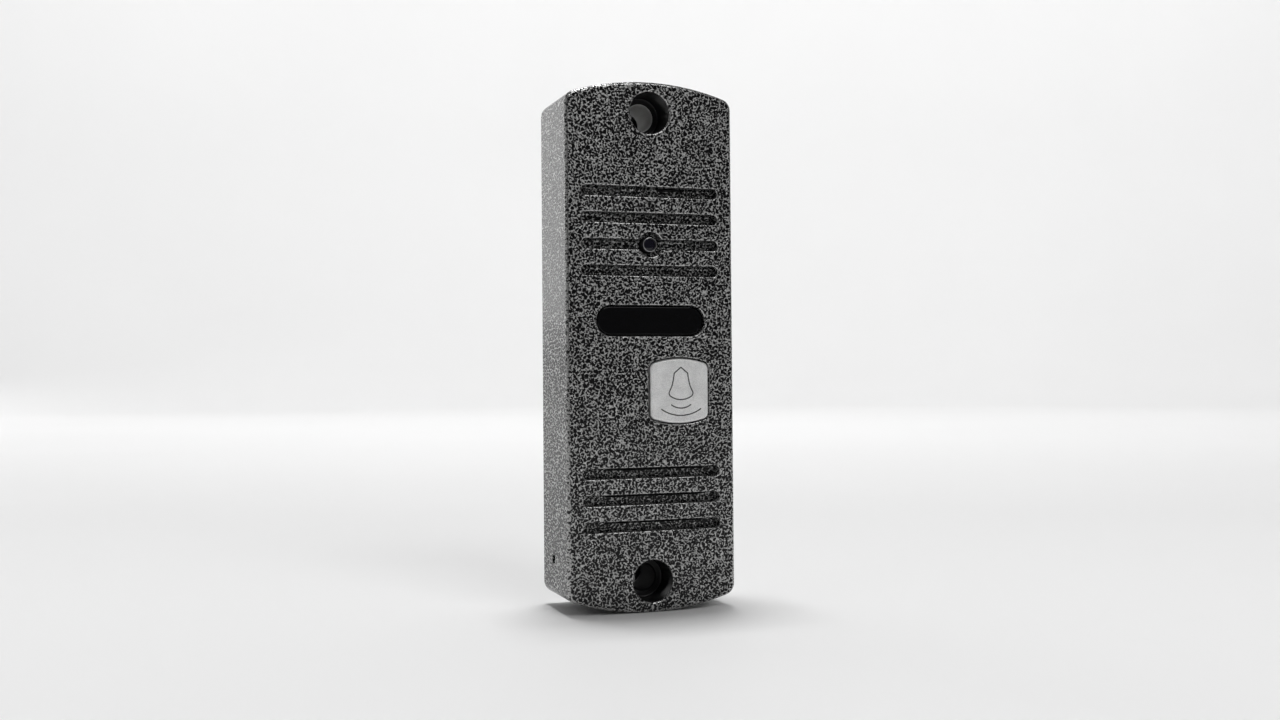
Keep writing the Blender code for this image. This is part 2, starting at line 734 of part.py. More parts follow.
def main_board():
    low = -46.6 * MM
    step = -51.8 * MM
    outline = [(BOARD_HALF_WIDTH, low), (BOARD_HALF_WIDTH, -low), (-BOARD_HALF_WIDTH, -low)]
    outline += [(-BOARD_HALF_WIDTH, step), (-8.5 * MM, step), (-8.5 * MM, low)]
    back_face = BOARD_FRONT + BOARD_THICK
    board = prism("main_board", outline, BOARD_FRONT, back_face, board_green())
    holes = [(disc(c, 1.4 * MM, 14), -8 * MM, -4 * MM) for c in board_posts()]
    cut(board, prisms("main_board_holes", holes))
    for i, centre in enumerate(board_posts()):
        level = back_face + 0.2 * MM
        screw(f"board_screw_{i + 1}", centre, level, *BOARD_SCREW, 6.5 * MM)

    seat = BOARD_FRONT - GAP
    chip = box_outline((-3 * MM, 8 * MM), 9 * MM, 9 * MM)
    prism("processor", chip, seat - 1.4 * MM, seat, ferrite())
    chip = box_outline((-10 * MM, -14 * MM), 5 * MM, 4 * MM)
    prism("audio_amplifier", chip, seat - 1.5 * MM, seat, ferrite())
    for i, (x, z) in enumerate(((-8.0, 39.8), (-8.0, 33.0))):
        can = (x * MM, z * MM)
        radius = 3.0 * MM
        profile = [(0, seat - 7 * MM), (radius * 0.9, seat - 7 * MM), (radius, seat - 6.6 * MM)]
        profile += [(radius, seat), (0, seat)]
        turned(f"capacitor_{i + 1}", profile, can, bare_steel(), 16)
    plug = box_outline((0, CABLE_Z + 12 * MM), 9.4 * MM, 4.6 * MM)
    prism("wire_connector", plug, back_face + GAP, back_face + 2.5 * MM, connector_nylon())


# ---- volume control ----


def volume_control():
    mouth = -17.2 * MM
    case = box_outline((-9.25 * MM, VOLUME_Z), 5.1 * MM, 5.6 * MM)
    body = prism("volume_body", case, mouth, mouth + 6 * MM, trimmer_blue(), "X")
    bore = bmesh.new()
    axis = (VOLUME_Y, VOLUME_Z)
    bore_disc = disc(axis, VOLUME_ROTOR + 0.35 * MM, 20)
    add_stack(bore, [(bore_disc, mouth - BEYOND), (bore_disc, mouth + 3 * MM)], "X")
    cut(body, tool("volume_bore", bore))

    pivot = bpy.data.objects.new("volume_pivot", None)
    pivot.location = (mouth, VOLUME_Y, VOLUME_Z)
    bpy.context.scene.collection.objects.link(pivot)
    bpy.context.view_layer.update()
    start = mouth - 0.4 * MM
    rotor_disc = disc(axis, VOLUME_ROTOR, 20)
    rotor = prism("volume_rotor", rotor_disc, start, mouth + 2.7 * MM, brass(), "X", parent=pivot)
    slot = bmesh.new()
    slot_outline = box_outline(axis, 4 * MM, 0.6 * MM)
    add_stack(slot, [(slot_outline, start - BEYOND), (slot_outline, start + 0.8 * MM)], "X")
    cut(rotor, tool("volume_slot", slot))


def main():
    for old in list(bpy.data.objects):
        bpy.data.objects.remove(old, do_unlink=True)
    housing()
    back()
    camera()
    lamps()
    call_button()
    speaker()
    microphone()
    main_board()
    volume_control()


main()
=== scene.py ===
import json
import math

import bmesh
import bpy
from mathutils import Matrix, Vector


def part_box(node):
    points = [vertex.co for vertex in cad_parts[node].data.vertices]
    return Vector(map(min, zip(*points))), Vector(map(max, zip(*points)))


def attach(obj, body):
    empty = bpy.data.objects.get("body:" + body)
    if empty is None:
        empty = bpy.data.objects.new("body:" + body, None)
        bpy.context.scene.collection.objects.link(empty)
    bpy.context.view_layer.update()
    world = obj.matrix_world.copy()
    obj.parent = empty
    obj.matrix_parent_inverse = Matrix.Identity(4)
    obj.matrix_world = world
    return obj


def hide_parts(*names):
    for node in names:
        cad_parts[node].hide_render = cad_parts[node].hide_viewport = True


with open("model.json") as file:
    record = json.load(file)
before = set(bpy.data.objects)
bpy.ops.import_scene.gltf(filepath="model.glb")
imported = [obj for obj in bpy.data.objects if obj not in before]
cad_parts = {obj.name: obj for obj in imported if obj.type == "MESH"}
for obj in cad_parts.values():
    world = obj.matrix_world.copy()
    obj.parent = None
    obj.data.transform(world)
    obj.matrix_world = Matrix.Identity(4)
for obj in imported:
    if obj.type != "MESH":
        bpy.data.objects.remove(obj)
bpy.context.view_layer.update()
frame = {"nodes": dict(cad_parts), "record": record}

mm = 0.001
full = 2 * math.pi
gap = 0.3 * mm  # clearance round a piece in its opening
over = 1 * mm  # how far a cutter runs past the face that it opens
crease = 34  # degrees: a steeper edge is drawn sharp


# shader maths

class Wire:  # an output socket that takes part in sums
    def __init__(self, finish, socket):
        self.finish = finish
        self.socket = socket

    def math(self, operation, *parts):
        values = dict(enumerate(parts))
        return self.finish.add("Math", {"operation": operation}, values)

    def __add__(self, other):
        return self.math("ADD", self, other)

    def __radd__(self, other):
        return self.math("ADD", other, self)

    def __sub__(self, other):
        return self.math("SUBTRACT", self, other)

    def __rsub__(self, other):
        return self.math("SUBTRACT", other, self)

    def __mul__(self, other):
        return self.math("MULTIPLY", self, other)


class Finish:  # a material, its nodes and its shader
    def __init__(self, name, **fixed):
        self.material = bpy.data.materials.new(name)
        self.material.use_nodes = True
        self.tree = self.material.node_tree
        self.shader = self.tree.nodes["Principled BSDF"]
        for key, value in fixed.items():
            self.shader.inputs[key.replace("_", " ")].default_value = value

    def add(self, kind, settings=None, values=None, output=0):
        node = self.tree.nodes.new("ShaderNode" + kind)
        for key, value in (settings or {}).items():
            setattr(node, key, value)
        for key, value in (values or {}).items():
            self.join(node.inputs[key], value)
        return Wire(self, node.outputs[output])

    def join(self, entry, value):
        if isinstance(value, Wire):
            self.tree.links.new(value.socket, entry)
        elif isinstance(value, tuple) and entry.type == "RGBA":
            entry.default_value = (*value, 1)
        else:
            entry.default_value = value

    def feed(self, **values):
        for key, value in values.items():
            self.join(self.shader.inputs[key.replace("_", " ")], value)

    def place(self):
        return self.add("TexCoord", output="Object")

    def noise(self, size, detail=0.0, rough=0.5, where=None):
        where = where or self.place()
        values = {"Vector": where, "Scale": 1 / size, "Detail": detail, "Roughness": rough}
        return self.add("TexNoise", None, values, "Fac")

    def cells(self, size, where=None, feature="F1", output="Distance"):
        where = where or self.place()
        values = {"Vector": where, "Scale": 1 / size}
        return self.add("TexVoronoi", {"feature": feature}, values, output)

    def ramp(self, wire, low, high, lowest=0.0, highest=1.0):
        values = {"Value": wire, "From Min": low, "From Max": high}
        values.update({"To Min": lowest, "To Max": highest})
        return self.add("MapRange", {"interpolation_type": "SMOOTHSTEP"}, values)

    def tint(self, share, first, second):
        return self.add("Mix", {"data_type": "RGBA"}, {0: share, 6: first, 7: second}, 2)

    def stir(self, where, size, amount):
        values = {"Vector": where, "Scale": 1 / size, "Detail": 1.0}
        colour = self.add("TexNoise", None, values, "Color")
        centred = self.add("VectorMath", {"operation": "SUBTRACT"}, {0: colour, 1: (0.5, 0.5, 0.5)})
        steps = {0: centred, 1: (amount, amount, amount), 2: where}
        return self.add("VectorMath", {"operation": "MULTIPLY_ADD"}, steps)

    def stretch(self, where, x, y, z):
        return self.add("VectorMath", {"operation": "MULTIPLY"}, {0: where, 1: (x, y, z)})

    def split(self, where):
        node = self.tree.nodes.new("ShaderNodeSeparateXYZ")
        self.tree.links.new(where.socket, node.inputs[0])
        return [Wire(self, out) for out in node.outputs]

    def relief(self, height, depth, strength=1.0):
        values = {"Height": height, "Distance": depth, "Strength": strength}
        self.join(self.shader.inputs["Normal"], self.add("Bump", None, values))


# finishes

hammerLook = {
    "fleck": 0.86 * mm,  # distance between the dark flecks
    "worm": 0.40 * mm,  # size of what joins and splits them
    "pit": (0.004, 0.004, 0.0045),
    "silver": (0.28, 0.28, 0.278),
    "glint": (0.68, 0.68, 0.675),
    # a painted highlight: the brighter silver of the rounded rims
    "rim": (0.50, 0.50, 0.495),
    "depth": 0.06 * mm,
    "flow": (1, 0.5, 1),  # the flecks run longer from front to back
}


def hammeredHollows(paint):  # low along the dark flecks, high between them
    look = hammerLook
    where = paint.stir(paint.stretch(paint.place(), *look["flow"]), 0.5 * mm, 0.25 * mm)
    walls = paint.cells(look["fleck"], where, "DISTANCE_TO_EDGE")
    return walls + (paint.noise(look["worm"], 0.0, 0.5, where) - 0.5) * 0.6


def hammeredPaint():
    look = hammerLook
    paint = Finish("hammeredPaint", IOR=1.26)
    hollow = hammeredHollows(paint)
    raised = paint.ramp(hollow, 0.03, 0.125, 1, 0)
    crest = paint.ramp(hollow, -0.12, 0.06, 1, 0)
    patch = paint.ramp(paint.noise(7 * mm, 2.0), 0.35, 0.65)
    flake = paint.noise(0.10 * mm, 1.0)
    silver = paint.tint(crest * 0.7 + flake * 0.5 - 0.1, look["silver"], look["glint"])
    worn = paint.tint(patch * 0.3, silver, look["silver"])
    paint.feed(Base_Color=paint.tint(raised, look["pit"], worn))
    paint.feed(Metallic=raised * 0.7)
    paint.feed(Roughness=0.14 + raised * 0.2 + flake * 0.08)
    paint.relief(raised * 0.75 + crest * 0.25 + flake * 0.02, look["depth"])
    return paint.material


def hammeredRimHighlight():  # rims painted brighter and smoother, with fewer flecks: a painted highlight along each rounded edge
    look = hammerLook
    paint = Finish("hammeredRimHighlight", IOR=1.4)
    raised = paint.ramp(hammeredHollows(paint), 0.10, 0.24, 1, 0)
    flake = paint.noise(0.10 * mm, 1.0)
    silver = paint.tint(flake, look["silver"], look["rim"])
    paint.feed(Base_Color=paint.tint(raised, look["pit"], silver))
    paint.feed(Metallic=raised * 0.85)
    paint.feed(Roughness=0.12 + flake * 0.16)
    paint.relief(raised * 0.9 + flake * 0.04, look["depth"] * 0.8)
    return paint.material


wellLook = {"dark": (0.004, 0.004, 0.0045), "worn": (0.022, 0.022, 0.022)}


def wellPaint():  # the glossy dark finish inside the screw wells, much darker than the front
    pool = Finish("wellPaint", IOR=1.4)
    peel = pool.noise(0.8 * mm, 1.0)
    speck = pool.ramp(pool.noise(0.22 * mm, 2.0), 0.6, 0.72)
    pool.feed(Base_Color=pool.tint(speck, wellLook["dark"], wellLook["worn"]))
    pool.feed(Roughness=0.24 + peel * 0.14 + speck * 0.1)
    pool.relief(peel * 0.7 + speck * 0.3, 0.05 * mm)
    return pool.material


# bore colours: a dark base, and a grey painted into the upper bore as light from behind
boreLook = {"bare": (0.008, 0.008, 0.009), "backlitGrey": (0.55, 0.55, 0.54)}


def bareCasting():
    cast = Finish("bareCasting", IOR=1.08)
    height = cast.split(cast.place())[2]
    dustAndBacklight = cast.ramp(height, -0.02, 0.05)  # painted light: the upper bore is painted grey as if lit through the back, and the lower bore stays dark as painted shade
    grain = cast.noise(0.25 * mm, 3.0, 0.6)
    turning = cast.noise(0.3 * mm, 1.0, 0.5, cast.stretch(cast.place(), 0.2, 3, 0.2))
    paintedBacklight = dustAndBacklight * (0.7 + grain * 0.5)
    cast.feed(Base_Color=cast.tint(paintedBacklight, boreLook["bare"], boreLook["backlitGrey"]))
    cast.feed(Roughness=0.55 + grain * 0.2)
    cast.relief(turning * 0.6 + grain * 0.4, 0.05 * mm)
    return cast.material


def blackPowder():
    coat = Finish("blackPowder")
    orange = coat.noise(0.55 * mm, 1.5)
    fine = coat.noise(0.12 * mm, 1.0)
    wear = coat.ramp(coat.noise(9 * mm, 4.0, 0.65), 0.52, 0.72)
    coat.feed(Base_Color=coat.tint(wear, (0.020, 0.020, 0.021), (0.038, 0.038, 0.038)))
    coat.feed(Roughness=0.42 + wear * 0.14 + fine * 0.08)
    coat.relief(orange * 0.8 + fine * 0.2, 0.05 * mm)
    return coat.material


def satinLacquer():
    lacquer = Finish("satinLacquer", Metallic=0.25)
    flake = lacquer.noise(0.16 * mm, 2.0, 0.6)
    peel = lacquer.noise(0.7 * mm, 1.0)
    cloud = lacquer.noise(3 * mm, 2.0)
    shade = lacquer.ramp(flake * 0.7 + cloud * 0.3, 0.35, 0.65)
    lacquer.feed(Base_Color=lacquer.tint(shade, (0.66, 0.66, 0.66), (0.93, 0.93, 0.925)))
    lacquer.feed(Roughness=0.30 + flake * 0.16)
    lacquer.relief(flake * 0.6 + peel * 0.4, 0.04 * mm)
    return lacquer.material


def darkEngraving():  # the engraved lines are coloured dark
    line = Finish("darkEngraving")
    grain = line.noise(0.12 * mm, 2.0)
    thin = line.ramp(line.noise(0.6 * mm, 2.0), 0.4, 0.7)
    faded = thin * 0.6 + grain * 0.3
    line.feed(Base_Color=line.tint(faded, (0.035, 0.035, 0.036), (0.14, 0.14, 0.14)))
    line.feed(Roughness=0.42 + grain * 0.2)
    line.relief(grain, 0.02 * mm)
    return line.material


def smokedAcrylic():
    pane = Finish("smokedAcrylic", Coat_Weight=0.2, Coat_Roughness=0.02, IOR=1.3)
    haze = pane.noise(6 * mm, 3.0)
    scuff = pane.ramp(pane.noise(0.5 * mm, 2.0), 0.6, 0.8)
    pane.feed(Base_Color=pane.tint(haze, (0.0015, 0.0015, 0.002), (0.003, 0.003, 0.0035)))
    pane.feed(Roughness=0.05 + scuff * 0.06 + haze * 0.03)
    pane.relief(pane.noise(5 * mm, 0.0), 0.01 * mm, 0.5)
    return pane.material


def coatedGlass():
    glass = Finish("coatedGlass", Coat_Weight=0.3, Coat_Roughness=0.01, IOR=1.4)
    # painted reflection: the base colour turns purple toward grazing view, as the coating's sheen
    sheen = glass.add("LayerWeight", None, {"Blend": 0.35}, "Facing")
    dustAndBacklight = glass.ramp(glass.noise(0.2 * mm, 2.0), 0.66, 0.8)
    edge = glass.tint(sheen, (0.004, 0.004, 0.009), (0.018, 0.010, 0.030))
    glass.feed(Base_Color=glass.tint(dustAndBacklight * 0.15, edge, (0.05, 0.05, 0.055)))
    glass.feed(Roughness=0.03 + dustAndBacklight * 0.08)
    return glass.material


def blackMoulding():
    plastic = Finish("blackMoulding", IOR=1.5)
    grain = plastic.noise(0.14 * mm, 1.0)
    flow = plastic.noise(3 * mm, 2.0)
    plastic.feed(Base_Color=plastic.tint(flow, (0.013, 0.013, 0.014), (0.022, 0.022, 0.023)))
    plastic.feed(Roughness=0.36 + grain * 0.14)
    plastic.relief(grain, 0.015 * mm)
    return plastic.material


def sealRubber():
    rubber = Finish("sealRubber", IOR=1.5)
    grain = rubber.noise(0.2 * mm, 2.0)
    bloom = rubber.ramp(rubber.noise(2.5 * mm, 3.0, 0.6), 0.5, 0.72)
    rubber.feed(Base_Color=rubber.tint(bloom, (0.014, 0.014, 0.015), (0.034, 0.034, 0.035)))
    rubber.feed(Roughness=0.62 + bloom * 0.2 + grain * 0.06)
    rubber.relief(grain, 0.03 * mm)
    return rubber.material


def zincPlate():
    zinc = Finish("zincPlate", Metallic=1.0)
    spangle = zinc.cells(0.45 * mm, None, "F1", "Color")
    grey = zinc.add("RGBToBW", None, {0: spangle})
    turned = zinc.noise(0.16 * mm, 2.0)
    dull = zinc.ramp(zinc.noise(1.6 * mm, 3.0), 0.45, 0.7)
    bright = zinc.tint(grey, (0.56, 0.57, 0.56), (0.68, 0.68, 0.66))
    zinc.feed(Base_Color=zinc.tint(dull * 0.6, bright, (0.36, 0.35, 0.32)))
    zinc.feed(Roughness=0.24 + dull * 0.16 + turned * 0.08)
    zinc.relief(turned * 0.6 + grey * 0.2, 0.012 * mm)
    return zinc.material


def plainSteel():
    steel = Finish("plainSteel", Metallic=1.0)
    long = steel.stretch(steel.place(), 1, 1, 14)
    brushed = steel.noise(0.25 * mm, 2.0, 0.6, long)
    stain = steel.ramp(steel.noise(4 * mm, 3.0), 0.5, 0.75)
    bright = steel.tint(brushed, (0.42, 0.42, 0.43), (0.55, 0.55, 0.55))
    steel.feed(Base_Color=steel.tint(stain * 0.5, bright, (0.25, 0.23, 0.20)))
    steel.feed(Roughness=0.28 + brushed * 0.12 + stain * 0.1)
    steel.relief(brushed, 0.008 * mm)
    return steel.material


def turnedBrass():
    brass = Finish("turnedBrass", Metallic=1.0)
    lines = brass.noise(0.12 * mm, 1.0, 0.5, brass.stretch(brass.place(), 9, 1, 1))
    tarnish = brass.ramp(brass.noise(0.9 * mm, 3.0), 0.45, 0.7)
    brass.feed(Base_Color=brass.tint(tarnish * 0.6, (0.60, 0.42, 0.15), (0.28, 0.18, 0.07)))
    brass.feed(Roughness=0.25 + tarnish * 0.2 + lines * 0.08)
    brass.relief(lines, 0.01 * mm)
    return brass.material


def greenMask():
    mask = Finish("greenMask", Coat_Weight=0.3, Coat_Roughness=0.15)
    weave = mask.add("TexBrick", {"offset": 0.5}, {"Vector": mask.place(), "Scale": 900.0}, "Fac")
    tracks = mask.ramp(mask.cells(2.2 * mm, None, "DISTANCE_TO_EDGE"), 0.02, 0.10)
    mottled = mask.noise(5 * mm, 2.0)
    green = mask.tint(mottled, (0.010, 0.110, 0.045), (0.018, 0.150, 0.065))
    mask.feed(Base_Color=mask.tint(tracks, (0.030, 0.230, 0.110), green))
    mask.feed(Roughness=0.34 + weave * 0.08 + mottled * 0.05)
    mask.relief(weave * 0.3 + (1 - tracks) * 0.7, 0.03 * mm)
    return mask.material


def darkCeramic():
    chip = Finish("darkCeramic")
    grain = chip.noise(0.09 * mm, 2.0)
    cloud = chip.noise(2.0 * mm, 2.0)
    chip.feed(Base_Color=chip.tint(cloud, (0.022, 0.022, 0.024), (0.040, 0.040, 0.042)))
    chip.feed(Roughness=0.48 + grain * 0.15)
    chip.relief(grain, 0.02 * mm)
    return chip.material


def lampResin():
    resin = Finish("lampResin", Coat_Weight=0.8, Coat_Roughness=0.03, IOR=1.53)
    swirl = resin.noise(1.2 * mm, 2.0)
    speck = resin.ramp(resin.noise(0.15 * mm, 1.0), 0.68, 0.8)
    clear = resin.tint(swirl, (0.24, 0.22, 0.34), (0.36, 0.33, 0.44))
    resin.feed(Base_Color=resin.tint(speck * 0.4, clear, (0.6, 0.6, 0.6)))
    resin.feed(Roughness=0.08 + swirl * 0.06)
    return resin.material


def coneFibre():
    fibre = Finish("coneFibre")
    felt = fibre.noise(0.25 * mm, 4.0, 0.7)
    blotch = fibre.noise(2.5 * mm, 2.0)
    fibre.feed(Base_Color=fibre.tint(felt, (0.035, 0.034, 0.032), (0.085, 0.082, 0.075)))
    fibre.feed(Roughness=0.78 + blotch * 0.15)
    fibre.relief(felt, 0.06 * mm)
    return fibre.material


def dustCloth():
    cloth = Finish("dustCloth", Sheen_Weight=0.3, Sheen_Roughness=0.5)
    x, _, z = cloth.split(cloth.place())
    pitch = full / (0.32 * mm)
    warp = (x * pitch).math("SINE", x * pitch)
    weft = (z * pitch).math("SINE", z * pitch)
    threads = cloth.ramp(warp * weft, -0.9, 0.9)
    cloth.feed(Base_Color=cloth.tint(threads, (0.006, 0.006, 0.007), (0.026, 0.026, 0.028)))
    cloth.feed(Roughness=0.75 + threads * 0.15)
    cloth.relief(threads, 0.08 * mm)
    return cloth.material


def trimmerCase():
    case = Finish("trimmerCase")
    grain = case.noise(0.18 * mm, 1.5)
    cloud = case.noise(2.0 * mm, 2.0)
    case.feed(Base_Color=case.tint(cloud, (0.015, 0.10, 0.36), (0.025, 0.14, 0.46)))
    case.feed(Roughness=0.36 + grain * 0.14)
    case.relief(grain, 0.015 * mm)
    return case.material


def paleNylon():
    nylon = Finish("paleNylon", Subsurface_Weight=0.15, Subsurface_Scale=0.0005)
    cloud = nylon.noise(2.0 * mm, 2.0)
    grain = nylon.noise(0.15 * mm, 1.0)
    nylon.feed(Base_Color=nylon.tint(cloud, (0.70, 0.67, 0.57), (0.78, 0.75, 0.66)))
    nylon.feed(Roughness=0.42 + grain * 0.14)
    nylon.relief(grain, 0.012 * mm)
    return nylon.material


def studioPaper():
    paper = Finish("studioPaper")
    tooth = paper.noise(0.8 * mm, 2.0)
    drift = paper.noise(0.3, 2.0)
    paper.feed(Base_Color=paper.tint(drift, (0.80, 0.80, 0.80), (0.83, 0.83, 0.83)))
    paper.feed(Roughness=0.62 + tooth * 0.1)
    paper.relief(tooth, 0.02 * mm)
    return paper.material


# mesh tools

def arc(centre, radius, start, end, steps):
    points = []
    for i in range(steps + 1):
        turn = start + (end - start) * i / steps
        points.append((centre[0] + radius * math.cos(turn), centre[1] + radius * math.sin(turn)))
    return points


def ringOf(centre, radius, steps=64):
    return arc(centre, radius, 0, full, steps)[:-1]


def stadium(centre, length, height, grow=0.0, steps=16):
    reach = (length - height) / 2
    radius = height / 2 + grow
    right = arc((centre[0] + reach, centre[1]), radius, -math.pi / 2, math.pi / 2, steps)
    left = arc((centre[0] - reach, centre[1]), radius, math.pi / 2, 1.5 * math.pi, steps)
    return right + left


def bulging(centre, halfWidth, halfHeight, bow, corner, grow=0.0, steps=(10, 40)):
    # an outline with straight sides and bowed ends
    bowZ = halfHeight - bow
    cornerX = halfWidth - corner
    cornerZ = bowZ + math.sqrt((bow - corner) ** 2 - cornerX ** 2)
    turn = math.atan2(cornerZ - bowZ, cornerX)
    upper = arc((cornerX, cornerZ), corner + grow, 0, turn, steps[0])
    upper += arc((0, bowZ), bow + grow, turn, math.pi - turn, steps[1])[1:-1]
    upper += arc((-cornerX, cornerZ), corner + grow, math.pi - turn, math.pi, steps[0])
    lower = [(-x, -z) for x, z in upper]
    return [(centre[0] + x, centre[1] + z) for x, z in upper + lower]


def addStack(bm, rings, across="Y"):  # closed solid through outlines of equal count
    loops = []
    marks = []  # a ring's third value is the material of the band after it
    for points, level, *mark in rings:
        marks.append(mark[0] if mark else 0)
        if across == "Y":
            loops.append([bm.verts.new((u, level, v)) for u, v in points])
        else:
            loops.append([bm.verts.new((level, u, v)) for u, v in points])
    count = len(loops[0])
    for one, two, mark in zip(loops, loops[1:], marks):
        for i in range(count):
            j = (i + 1) % count
            bm.faces.new((one[i], one[j], two[j], two[i])).material_index = mark
    bm.faces.new(loops[0]).material_index = marks[0]
    bm.faces.new(loops[-1]).material_index = marks[-1]


def addSpin(bm, centre, profile, closed=False, steps=64):  # (radius, y) profile turned about Y
    verts = [bm.verts.new((centre[0] + r, y, centre[1])) for r, y in profile]
    pairs = list(zip(verts, verts[1:]))
    if closed:
        pairs.append((verts[-1], verts[0]))
    edges = [bm.edges.new(pair) for pair in pairs]
    axis = {"cent": (centre[0], 0, centre[1]), "axis": (0, 1, 0)}
    bmesh.ops.spin(bm, geom=verts + edges, angle=full, steps=steps, use_merge=True, **axis)


def smoothed(mesh, sharp=crease):
    mesh.shade_smooth()
    mesh.set_sharp_from_angle(angle=math.radians(sharp))


def makeObject(name, bm, *materials, sharp=crease):
    bmesh.ops.remove_doubles(bm, verts=bm.verts, dist=0.0005 * mm)
    bmesh.ops.recalc_face_normals(bm, faces=bm.faces)
    mesh = bpy.data.meshes.new(name)
    bm.to_mesh(mesh)
    bm.free()
    smoothed(mesh, sharp)
    made = bpy.data.objects.new(name, mesh)
    bpy.context.scene.collection.objects.link(made)
    for material in materials:
        mesh.materials.append(material)
    return made


def stackObject(name, rings, *materials):
    bm = bmesh.new()
    addStack(bm, rings)
    return makeObject(name, bm, *materials)


def shape(target, cutters, operation="DIFFERENCE"):  # booleans, made real at once
    for cutter in cutters:
        step = target.modifiers.new(cutter.name, "BOOLEAN")
        step.operation = operation
        step.solver = "EXACT"
        step.material_mode = "TRANSFER"
        step.object = cutter
    bpy.context.view_layer.update()
    seen = target.evaluated_get(bpy.context.evaluated_depsgraph_get())
    mesh = bpy.data.meshes.new_from_object(seen)
    target.modifiers.clear()
    target.data = mesh
    for cutter in cutters:
        bpy.data.objects.remove(cutter)
    smoothed(mesh)


def evenNormals(target):  # flat faces stay flat beside their rounded edges
    step = target.modifiers.new("evenNormals", "WEIGHTED_NORMAL")
    step.keep_sharp = True
    step.weight = 60


def standFor(made, body, slot, *nodes):
    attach(made, body)
    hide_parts(*nodes)


def roundedEdge(radius, steps=6):  # (inward, along) from a side wall round onto a face
    turns = [math.pi / 2 * i / steps for i in range(steps + 1)]
    return [(radius * (1 - math.sin(t)), radius * (1 - math.cos(t))) for t in reversed(turns)]


def middle(node):
    low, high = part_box(node)
    return (low + high) / 2


# where things are, from the frame

bodyLow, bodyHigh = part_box("housing")
front = bodyLow.y
back = bodyHigh.y
halfWidth = (bodyHigh.x - bodyLow.x) / 2
halfHeight = (bodyHigh.z - bodyLow.z) / 2
lensAt = middle("camera_bezel")
windowAt = middle("window_pane")
buttonAt = middle("button_cap")
speakerAt = middle("speaker_basket")
voiceAt = middle("microphone_boot")
volumeAt = middle("volume_rotor")
cableAt = middle("cable_grommet")

housingLook = {
    "endRadius": 60 * mm,
    "cornerRadius": 2.8 * mm,
    "edgeRadius": 0.8 * mm,
    "backEdge": 0.3 * mm,
    "sideWall": 2.2 * mm,
    "frontWall": 3.6 * mm,
    "rebateWall": 1.2 * mm,  # what is left beside the back plate
    "lip": 0.34 * mm,  # how far the paint rounds each rim
    "screwHeight": 53.9 * mm,
    "columnRadius": 6.3 * mm,
    "columnRoot": 0.4 * mm,  # how far a column reaches into the front wall
    "headRadius": 4.8 * mm,
    "headDepth": 7.6 * mm,
    "headFoot": 0.4 * mm,
    "shankRadius": 3.05 * mm,
    "shankEdge": 0.3 * mm,
    "grooveLength": 33.1 * mm,
    "grooveHeight": 2.3 * mm,
    "grooveDepth": 2.8 * mm,
    "grooveFoot": 0.7 * mm,
    "groovePitch": 6.07 * mm,
    "upperGrooves": 4,
    "lowerGrooves": 3,
    "lowerShift": -0.47 * mm,  # from the middle of the speaker
    "lensRecess": 2.85 * mm,
    "lensFoot": 0.15 * mm,
    "lensHole": 2.0 * mm,
    "volumeHole": 1.05 * mm,
    "volumeEdge": 0.25 * mm,
    "slitHeight": 0.6 * mm,
    "slitInset": 0.05 * mm,  # from the upper wall of its groove
    "slitOverlap": 0.1 * mm,
    "slitShift": 1.3 * mm,
    "speakerSlit": 24.2 * mm,
    "voiceSlit": 6.9 * mm,
}


def bodyOutline(inset):
    look = housingLook
    return bulging((0, 0), halfWidth, halfHeight, look["endRadius"], look["cornerRadius"], -inset)


inside = front + housingLook["frontWall"]
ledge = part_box("back_gasket")[0].y - gap
screwSeat = front + housingLook["headDepth"]
grooveFloor = front + housingLook["grooveDepth"]
screwCentres = [(0, sign * housingLook["screwHeight"]) for sign in (1, -1)]

# order of the paints on the housing, as marks of the bands
wallMark, rimMark, wellMark, boreMark = range(4)


def rimRings(outline, rim):  # marked for the rim's painted highlight
    rings = [(outline(rim), front - over, rimMark)]
    for inward, along in roundedEdge(rim, 5)[::-1]:
        rings.append((outline(inward), front + along, rimMark))
    return rings


def sunkRings(outline, rim, floor, foot, wall=wallMark):
    # rings of a pocket cut into the front: a rounded rim, straight walls and a rounded foot
    rings = rimRings(outline, rim)
    rings[-1] = (*rings[-1][:2], wall)
    for inward, along in roundedEdge(foot, 4):
        rings.append((outline(-inward), floor - along, wall))
    return rings


def throughRings(outline, rim, end):
    rings = rimRings(outline, rim)
    rings[-1] = (*rings[-1][:2], wallMark)
    return rings + [(outline(0), end)]


def widening(centre, radius):  # circles about one centre, wider by what is asked
    return lambda grow, steps=72: ringOf(centre, radius + grow, steps)


def housingShell(paints):
    look = housingLook
    rings = []
    # the rounded front edge takes the rim paint, a painted highlight
    for inward, along in roundedEdge(look["edgeRadius"], 8)[::-1]:
        rings.append((bodyOutline(inward), front + along, rimMark))
    rings[0] = (*rings[0][:2], wallMark)
    rings[-1] = (*rings[-1][:2], wallMark)
    for inward, along in roundedEdge(look["backEdge"], 4):
        rings.append((bodyOutline(inward), back - along))
    housing = stackObject("stationHousing", rings, *paints)
    wall = bodyOutline(look["sideWall"])
    rebate = bodyOutline(look["rebateWall"])
    hollow = [(wall, inside), (wall, ledge), (rebate, ledge), (rebate, back + over)]
    shape(housing, [stackObject("hollow", hollow)])
    columns = bmesh.new()
    for centre in screwCentres:
        column = ringOf(centre, look["columnRadius"], 48)
        addStack(columns, [(column, inside - look["columnRoot"]), (column, ledge)])
    shape(housing, [makeObject("columns", columns)], "UNION")
    return housing


